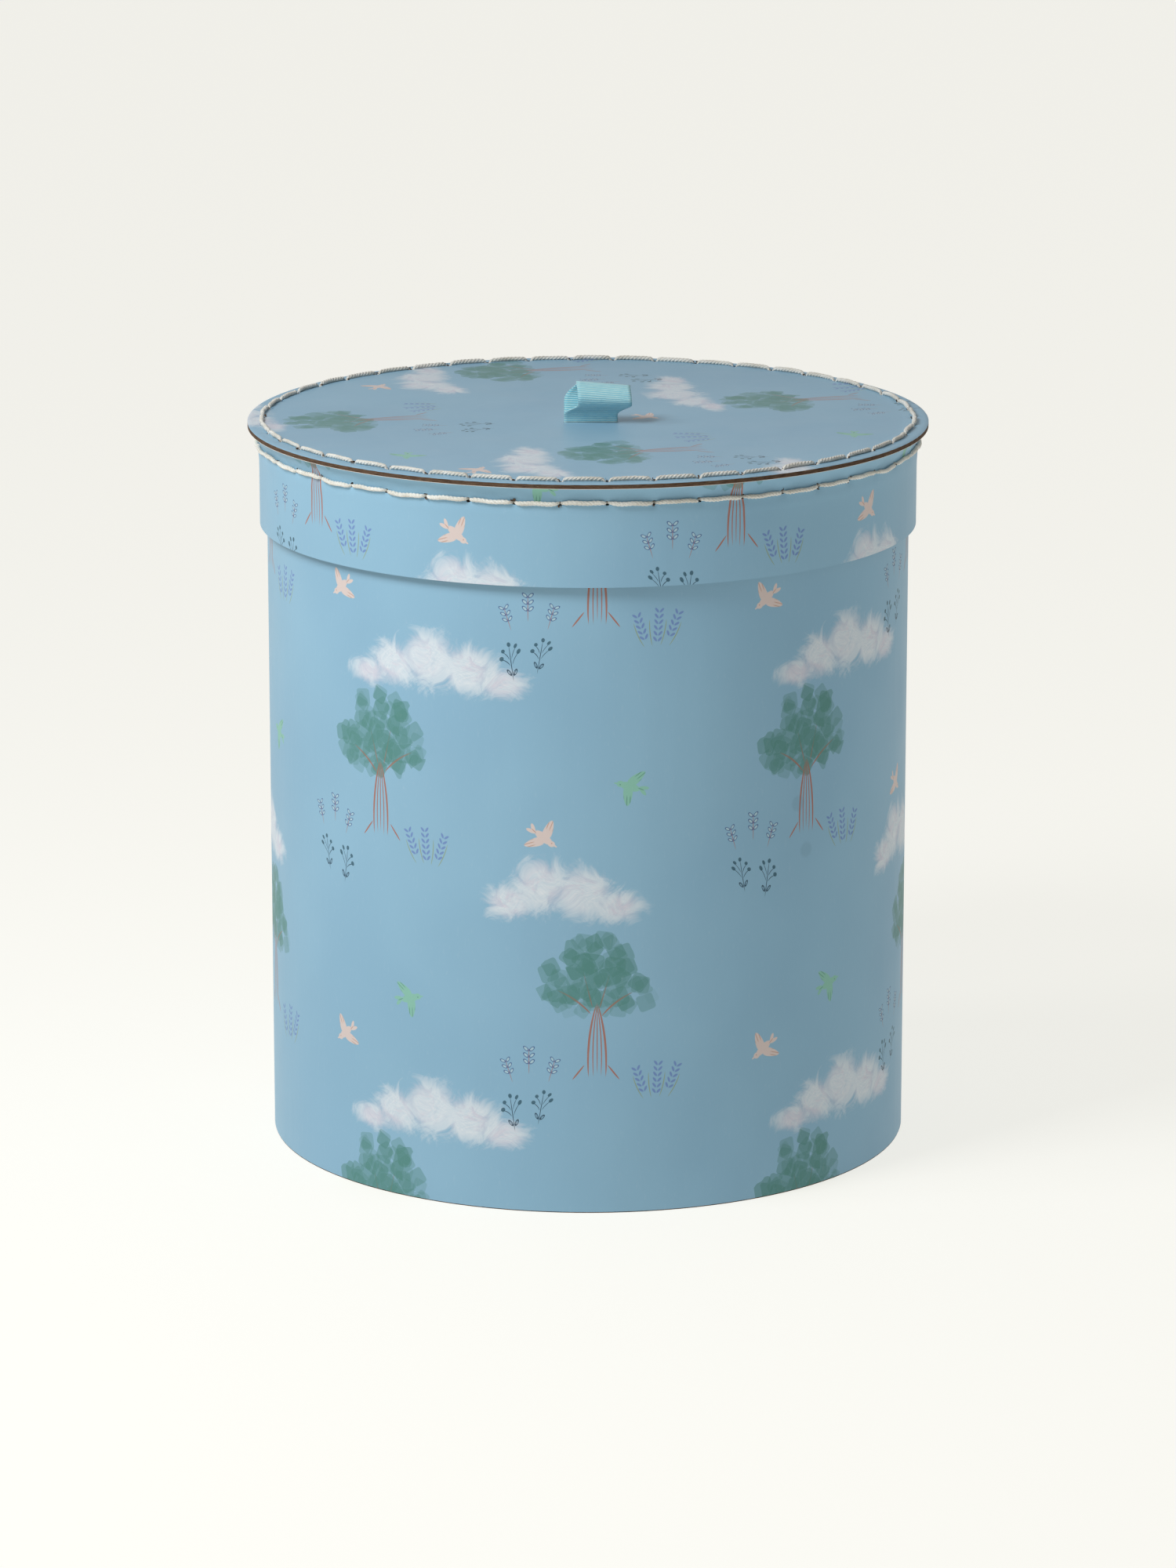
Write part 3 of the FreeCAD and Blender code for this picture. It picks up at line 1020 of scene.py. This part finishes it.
# %% Disc sheet
RIM_ROWS = 6
DISC_SWELL = 0.22 * MM
SLOT_CLEARANCE = 0.3 * MM
SLOT_DEPTH = 1.8 * MM
EDGE_WIDTH = 0.3 * MM
ROLL_WIDTH = 0.31 * MM
EDGE_ROLL = 0.6
rim_step = (disc_radius - top_row) / RIM_ROWS
rows = [top_row + step * rim_step for step in range(-5, RIM_ROWS)]
rows += [disc_radius - EDGE_WIDTH, disc_radius]
profile = [(radius, disc_top) for radius in rows]
bm = spin_sheet(profile, FIRST_HOLE, 2 * math.pi, SHEET_STEPS, closed=True)
for vertex in bm.verts:
    radius = math.hypot(vertex.co.x, vertex.co.y)
    from_hole, _ = near_hole(vertex.co, radius - top_row, radius)
    ends = ease(radius, rows[0], rows[3]) * ease(-radius, -disc_radius, rim_step - disc_radius)
    vertex.co.z += DISC_SWELL * ease(from_hole, 0.8 * MM, 3.5 * MM) * ends
    vertex.co.z -= paper * EDGE_ROLL * ease(radius, disc_radius - ROLL_WIDTH, disc_radius)
tear_holes(bm, [on_disc(hole_turn(index), 0, 0) for index in range(STITCHES)], 0.3)
tails_low, tails_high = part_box("ribbon_tails")
ribbon_width = tails_high[0] - tails_low[0]
slot_middle = Vector(((tails_low[0] + tails_high[0]) / 2, (tails_low[1] + tails_high[1]) / 2, disc_top))
slot_size = (ribbon_width + 2 * SLOT_CLEARANCE, SLOT_DEPTH)
slot = bmesh.ops.create_grid(bm, x_segments=1, y_segments=1, size=0.5)["verts"]
bmesh.ops.scale(bm, vec=(*slot_size, 1), verts=slot)
bmesh.ops.translate(bm, vec=slot_middle, verts=slot)
bmesh.ops.delete(bm, geom=[slot[0].link_faces[0]], context="FACES_ONLY")
inner = [edge for edge in bm.edges if len(edge.link_faces) < 2
         and max(math.hypot(v.co.x, v.co.y) for v in edge.verts) < rows[0] + rim_step / 2]
bmesh.ops.triangle_fill(bm, edges=inner, use_beauty=True)
bmesh.ops.recalc_face_normals(bm, faces=bm.faces)
if sum(face.normal.z for face in bm.faces) < 0:
    bmesh.ops.reverse_faces(bm, faces=bm.faces)
bmesh.ops.solidify(bm, geom=bm.faces[:], thickness=paper)
disc_sheet = new_object("lid_disc_printed_sheet", bm)
disc_sheet.data.materials.append(disc_print)
smooth(disc_sheet)
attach(disc_sheet, "lid")
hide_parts("lid_disc_print_paper")
print("disc sheet faces", len(disc_sheet.data.polygons))

# %% [markdown]
# ## The cord stitches
#
# The cord is three soft cotton strands laid round each other. A curve object with a round
# bevel is Blender's own way to make a strand, so each stitch is three splines that wind
# about the stitch's middle line, and the whole row is then turned into one mesh. A stitch
# dives into its holes, is a little thinner there, and bows to one side as hand sewing does.

# %% Cord finish
def cord_finish():
    """Soft white cotton, fluffy and a little soiled."""
    material, tree, shader = finish("cotton_cord", 0.9, 0.15, 0.25)
    place = object_place(tree)
    fluff = noise(place, 2600, 2.0, 0.6)
    soil = noise(place, 90, 3.0, 0.6)
    colour = blend_colours(tree, soil.step(0.35, 0.75), ink(246, 246, 240), ink(222, 219, 208))
    colour = blend_colours(tree, fluff.step(0.6, 0.35) * 0.35, colour, ink(186, 178, 162))
    tree.links.new(colour.socket, shader.inputs["Base Color"])
    bump(tree, shader, fluff, 0.0003)
    return material


cotton_cord = cord_finish()

# %% One strand of a stitch
STRAND_RADIUS = 0.56 * MM
STRAND_OFFSET = 0.43 * MM
TWIST_LENGTH = 5.2 * MM
STRAND_POINTS = 30
DIVE_DEPTH = 2.3 * MM
STITCH_GAP = 0.3 * MM
STITCH_WAVE = 0.14 * MM
END_SWAY = 0.3


def stitch_line(share, length, bow, rise, dive_length):
    """Aside and off-sheet distance of a stitch's middle at a share of its length."""
    from_end = min(share, 1 - share) * length
    dive = DIVE_DEPTH * math.exp(-(from_end / dive_length) ** 2)
    arch = math.sin(math.pi * share)
    return bow * arch, CORD_RADIUS * 0.92 + rise * arch - dive


def add_strand(curve, points, radii):
    """Spline of a round strand through some points."""
    spline = curve.splines.new("POLY")
    spline.points.add(len(points) - 1)
    for target, point, radius in zip(spline.points, points, radii):
        target.co = (*point, 1)
        target.radius = radius


def new_cord_curve(name):
    """Empty curve whose splines become round strands."""
    curve = bpy.data.curves.new(name, "CURVE")
    curve.dimensions = "3D"
    curve.bevel_depth = STRAND_RADIUS
    curve.bevel_resolution = 1
    curve.use_fill_caps = True
    return curve


def sew(curve, place, row_radius, dive_length, sway):
    """All stitches of a row, as strands on a curve. place is on_disc or on_band."""
    length = STITCH_TURN * row_radius
    inset = STITCH_GAP / row_radius
    for index in range(STITCHES):
        start = hole_turn(index) + inset
        sweep = STITCH_TURN - 2 * inset
        bow = luck.uniform(-sway, sway)
        rise = luck.uniform(0.05, 0.4) * MM
        phase = luck.uniform(0, 2 * math.pi)
        thick = luck.uniform(0.93, 1.08)
        drift = luck.random()
        ends = [luck.uniform(-END_SWAY, END_SWAY) * MM for _ in range(2)]
        for strand in range(3):
            points, radii = [], []
            for step in range(STRAND_POINTS):
                share = step / (STRAND_POINTS - 1)
                aside, off = stitch_line(share, length, bow, rise, dive_length)
                aside += STITCH_WAVE * math.sin(2 * math.pi * (1.7 * share + drift))
                aside += ends[0] * (1 - share) + ends[1] * share
                wind = phase + 2 * math.pi * (share * length / TWIST_LENGTH + strand / 3)
                taper = 0.72 + 0.28 * ease(min(share, 1 - share) * length, 0.6 * MM, 3 * MM)
                reach = STRAND_OFFSET * taper * thick
                points.append(place(start + sweep * share, aside + reach * math.cos(wind),
                                    off + reach * math.sin(wind)))
                radii.append(taper * thick * luck.uniform(0.94, 1.06))
            add_strand(curve, points, radii)


def cord_piece(curve, name, node):
    """Turn a row of strands into one mesh piece in place of a CAD node."""
    holder = bpy.data.objects.new(name, curve)
    bpy.context.scene.collection.objects.link(holder)
    mesh = bpy.data.meshes.new_from_object(holder)
    bpy.data.objects.remove(holder)
    piece = bpy.data.objects.new(name, mesh)
    bpy.context.scene.collection.objects.link(piece)
    mesh.materials.clear()
    mesh.materials.append(cotton_cord)
    mesh.shade_smooth()
    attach(piece, "lid")
    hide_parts(node)
    print(name, "faces", len(mesh.polygons))
    return piece


# %% Both rows
LOCK_GAP = 0.12 * MM
LOCK_FOOT = 0.9 * MM
LOCK_RADII = (0.6, 0.55, 0.55, 0.6)

top_curve = new_cord_curve("top_row")
sew(top_curve, on_disc, top_row, 0.85 * MM, 0.5 * MM)
top_stitching = cord_piece(top_curve, "top_row_cord", "lid_top_stitching")

side_curve = new_cord_curve("side_row")
sew(side_curve, on_band, band_radius, 0.6 * MM, 0.65 * MM)
# a lock thread runs up the inside of the band from each hole to the disc
lock_off = disc_underside - disc_top - LOCK_GAP
lock_top = disc_underside - 1.2 * MM
for index in range(STITCHES):
    turn = hole_turn(index)
    foot = round_place(turn, band_radius - LOCK_FOOT, side_row)
    bend = round_place(turn, band_radius + lock_off, side_row + 0.4 * MM)
    middle = round_place(turn, flared(side_row + 3 * MM) + lock_off, side_row + 3 * MM)
    top = round_place(turn, flared(lock_top) + lock_off, lock_top)
    add_strand(side_curve, [foot, bend, middle, top], LOCK_RADII)
side_stitching = cord_piece(side_curve, "side_row_cord", "lid_side_stitching")

# %% [markdown]
# ## Torn board and paper at the holes
#
# The awl that made the holes pushed up crumbs of brown board and small flaps of paper.
# A crumb is an icosphere squashed and knocked about. A flap is a little grid, pinched to a
# point at one end and curled up off the sheet.

# %% Crumbs and flaps
MOST_CRUMBS = 3
FLAP_SHARE = 0.45


def add_crumb(bm, place, turn):
    """Rough chip of board at the rim of a hole."""
    way = luck.uniform(0, 2 * math.pi)
    along = math.cos(way) * 0.95 * MM / top_row
    spot = place(turn + along, math.sin(way) * 1.25 * MM, luck.uniform(0.2, 0.8) * MM)
    size = luck.uniform(0.4, 0.85) * MM
    verts = bmesh.ops.create_icosphere(bm, subdivisions=1, radius=size)["verts"]
    for vertex in verts:
        vertex.co *= luck.uniform(0.6, 1.25)
    bmesh.ops.scale(bm, vec=(1.0, luck.uniform(0.45, 0.8), luck.uniform(0.3, 0.6)), verts=verts)
    spin = Matrix.Rotation(luck.uniform(0, math.pi), 3, Vector((luck.random(), luck.random(), 1)))
    bmesh.ops.rotate(bm, matrix=spin, verts=verts)
    bmesh.ops.translate(bm, vec=spot, verts=verts)


def add_flap(bm, place, turn):
    """Small pointed flap of paper that curls up beside a hole."""
    verts = bmesh.ops.create_grid(bm, x_segments=3, y_segments=4, size=0.5)["verts"]
    way = luck.uniform(0, 2 * math.pi)
    wide, reach, curl = luck.uniform(0.9, 1.6), luck.uniform(1.1, 2.0), luck.uniform(0.5, 1.3)
    for vertex in verts:
        share = vertex.co.y + 0.5
        across = vertex.co.x * wide * (1.05 - share) + 0.15 * luck.uniform(-1, 1)
        out = 0.9 + share * reach
        aside = math.cos(way) * out - math.sin(way) * across
        along = math.sin(way) * out + math.cos(way) * across
        vertex.co = place(turn + along * MM / top_row, aside * MM, (0.1 + curl * share ** 1.6) * MM)


bm = bmesh.new()
for place in (on_disc, on_band):
    for index in range(STITCHES):
        for _ in range(luck.randint(0, MOST_CRUMBS)):
            add_crumb(bm, place, hole_turn(index))
crumbs = new_object("torn_board_crumbs", bm)
crumbs.data.materials.append(fibreboard)
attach(crumbs, "lid")

bm = bmesh.new()
for place in (on_disc, on_band):
    for index in range(STITCHES):
        if luck.random() < FLAP_SHARE:
            add_flap(bm, place, hole_turn(index))
bmesh.ops.recalc_face_normals(bm, faces=bm.faces)
flaps = new_object("torn_paper_flaps", bm)
flaps.data.materials.append(disc_print)
thickness = flaps.modifiers.new("thickness", "SOLIDIFY")
thickness.thickness = 0.08 * MM
smooth(flaps)
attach(flaps, "lid")
print("crumb faces", len(crumbs.data.polygons), "flap faces", len(flaps.data.polygons))

# %% [markdown]
# ## The ribbon pull
#
# The pull is a loop of ribbed ribbon that stands up out of a slot, leaning forward and to
# one side. Its side view is one smooth curve through a few points, the ribs are waves
# along that curve, and the strip is that line pushed out sideways and given a thickness.
# The loop turns on the lid while the tails stay in their slot, so they are two pieces.

# %% Ribbon finish
RIB_PITCH = 1.0 * MM
THREAD_PITCH = 0.22 * MM


def ribbon_finish():
    """Ribbed ribbon, with a painted highlight on each rib and painted shade between the ribs."""
    material, tree, shader = finish("grosgrain", 0.42, 0.5, 0.35)
    shader.inputs["Sheen Roughness"].default_value = 0.35
    along, across = split(map_place(tree, "weave"))
    ribs = (along * (2 * math.pi / RIB_PITCH)).math("COSINE")
    threads = (across * (2 * math.pi / THREAD_PITCH)).math("COSINE")
    uneven = noise(object_place(tree), 420, 2.0, 0.5)
    # painted light: the pale colour on each rib top is a painted highlight, and the deeper colour between
    # ribs is painted shade
    colour = blend_colours(tree, ribs.step(-1.0, 0.4), ink(138, 221, 240), ink(204, 247, 252))
    colour = blend_colours(tree, uneven.step(0.35, 0.75) * 0.25, colour, ink(122, 212, 234))
    tree.links.new(colour.socket, shader.inputs["Base Color"])
    bump(tree, shader, threads * 0.5 + uneven, 0.00007)
    return material


grosgrain = ribbon_finish()

# %% Strip of ribbon along a side view
RIBBON_THICK = 0.34 * MM
RIB_DEPTH = 0.09 * MM
RIB_SAMPLES = 6
WIDTH_STEPS = 16
SELVEDGE_BEAD = 0.16 * MM


def smooth_line(points):
    """Points of a smooth curve that runs from the first of some points to the last."""
    curve = bpy.data.curves.new("side_view", "CURVE")
    curve.dimensions = "3D"
    spline = curve.splines.new("NURBS")
    spline.points.add(len(points) - 1)
    for target, point in zip(spline.points, points):
        target.co = (0, *point, 1)
    spline.order_u = 4
    spline.use_endpoint_u = True
    spline.resolution_u = 24
    holder = bpy.data.objects.new("side_view", curve)
    mesh = bpy.data.meshes.new_from_object(holder)
    line = [vertex.co.copy() for vertex in mesh.vertices]
    bpy.data.objects.remove(holder)
    return line


def evenly(line, pitch):
    """The same line with its points a fixed distance apart, and its length."""
    length = sum((b - a).length for a, b in zip(line, line[1:]))
    count = max(round(length / pitch), 2)
    spaced, walked, index = [line[0]], 0.0, 0
    for number in range(1, count):
        target = length * number / count
        while walked + (line[index + 1] - line[index]).length < target:
            walked += (line[index + 1] - line[index]).length
            index += 1
        share = (target - walked) / (line[index + 1] - line[index]).length
        spaced.append(line[index].lerp(line[index + 1], share))
    return spaced + [line[-1]], length


def ribbon_strip(name, line, left, width, lean):
    """Ribbed strip whose side view is a line. lean(point) says how it goes sideways and down."""
    spaced, length = evenly(line, RIB_PITCH / RIB_SAMPLES)
    bm = bmesh.new()
    layer = bm.loops.layers.uv.new("weave")
    order = bm.verts.layers.int.new("order")
    verts = []
    for index, point in enumerate(spaced):
        before, after = spaced[max(index - 1, 0)], spaced[min(index + 1, len(spaced) - 1)]
        outward = Vector((1, 0, 0)).cross(after - before).normalized()
        wave = math.cos(2 * math.pi * index / RIB_SAMPLES)
        verts.append(bm.verts.new(point + outward * RIB_DEPTH * wave + Vector((left, 0, 0))))
    edges = [bm.edges.new(pair) for pair in zip(verts, verts[1:])]
    for index, vertex in enumerate(verts):
        vertex[order] = index
    for _ in range(WIDTH_STEPS):
        made = bmesh.ops.extrude_edge_only(bm, edges=edges)["geom"]
        edges = [item for item in made if isinstance(item, bmesh.types.BMEdge)
                 and all(vertex in made for vertex in item.verts)]
        edges = [edge for edge in edges if len(edge.link_faces) == 1]
        moved_verts = [item for item in made if isinstance(item, bmesh.types.BMVert)]
        bmesh.ops.translate(bm, vec=(width / WIDTH_STEPS, 0, 0), verts=moved_verts)
    for face in bm.faces:
        for loop in face.loops:
            loop[layer].uv = (loop.vert[order] * length / (len(spaced) - 1), loop.vert.co.x - left)
    for vertex in bm.verts:
        share = (vertex.co.x - left) / width
        if min(share, 1 - share) < 0.5 / WIDTH_STEPS:
            bead = SELVEDGE_BEAD * math.cos(2 * math.pi * vertex[order] / RIB_SAMPLES)
            vertex.co.x += math.copysign(bead, share - 0.5)
    for vertex in bm.verts:
        sideways, down = lean(vertex.co)
        vertex.co += Vector((sideways, 0, -down * (vertex.co.x - left) / width))
    bmesh.ops.recalc_face_normals(bm, faces=bm.faces)
    strip = new_object(name, bm)
    strip.data.materials.append(grosgrain)
    strip.data.shade_smooth()
    thickness = strip.modifiers.new("thickness", "SOLIDIFY")
    thickness.thickness = RIBBON_THICK
    thickness.offset = 0
    print(name, "length", round(length / MM, 1), "mm, faces", len(strip.data.polygons))
    return strip, length


# %% Loop
FOOT_RADIUS = 0.65 * MM
hinge_height = heights("ribbon_loop")[0] + FOOT_RADIUS
LOOP_POINTS = [(-0.3, -0.42), (-0.4, 0.9), (-1.4, 3.2), (-3.6, 5.6), (-6.4, 7.6), (-8.2, 10.4), (-7.6, 13.6),
               (-4.8, 16.4), (-1.2, 17.2), (2.4, 16.2), (4.6, 13.2), (4.8, 9.6), (3.4, 6.0), (1.6, 2.6),
               (0.5, 0.7), (0.3, -0.42)]
LEAN = 6.0 * MM
DROOP = 1.8 * MM
ROLL_MIDDLE = 10 * MM
ROLL_BULGE = 1.6 * MM


def loop_lean(point):
    """How far the loop is pushed towards +X, and how far its +X end droops."""
    height = point.z - hinge_height
    forward = slot_middle.y - point.y
    pushed = ease(height + 0.9 * forward, 4 * MM, 14 * MM)
    rounded = ROLL_BULGE * ((height - ROLL_MIDDLE) / ROLL_MIDDLE) ** 2
    return pushed * (LEAN - rounded), DROOP * ease(height, 6 * MM, 14 * MM)


side_view = [(slot_middle.y + y * MM, hinge_height + z * MM) for y, z in LOOP_POINTS]
loop, loop_length = ribbon_strip("ribbon_loop_strip", smooth_line(side_view), tails_low[0],
                                 ribbon_width, loop_lean)
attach(loop, "ribbon")
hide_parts("ribbon_loop")

# %% Tails
TAIL_GAP = 0.3 * MM
TAIL_BEND = 0.4 * MM
tail_reach = (tails_high[1] - tails_low[1]) / 2
low = (tails_low[2] + disc_underside) / 2


def no_lean(point):
    """The tails lie straight."""
    return 0.0, 0.0


for side in (-1, 1):
    inner_y = slot_middle.y + side * TAIL_GAP
    tail_line = [Vector((0, inner_y, disc_top)), Vector((0, inner_y, low + TAIL_BEND)),
                 Vector((0, inner_y + side * TAIL_BEND, low)),
                 Vector((0, slot_middle.y + side * tail_reach, low))]
    half, tail_length = ribbon_strip(f"ribbon_tail_{'front' if side < 0 else 'back'}", tail_line,
                                     tails_low[0], ribbon_width, no_lean)
    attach(half, "lid")
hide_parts("ribbon_tails")
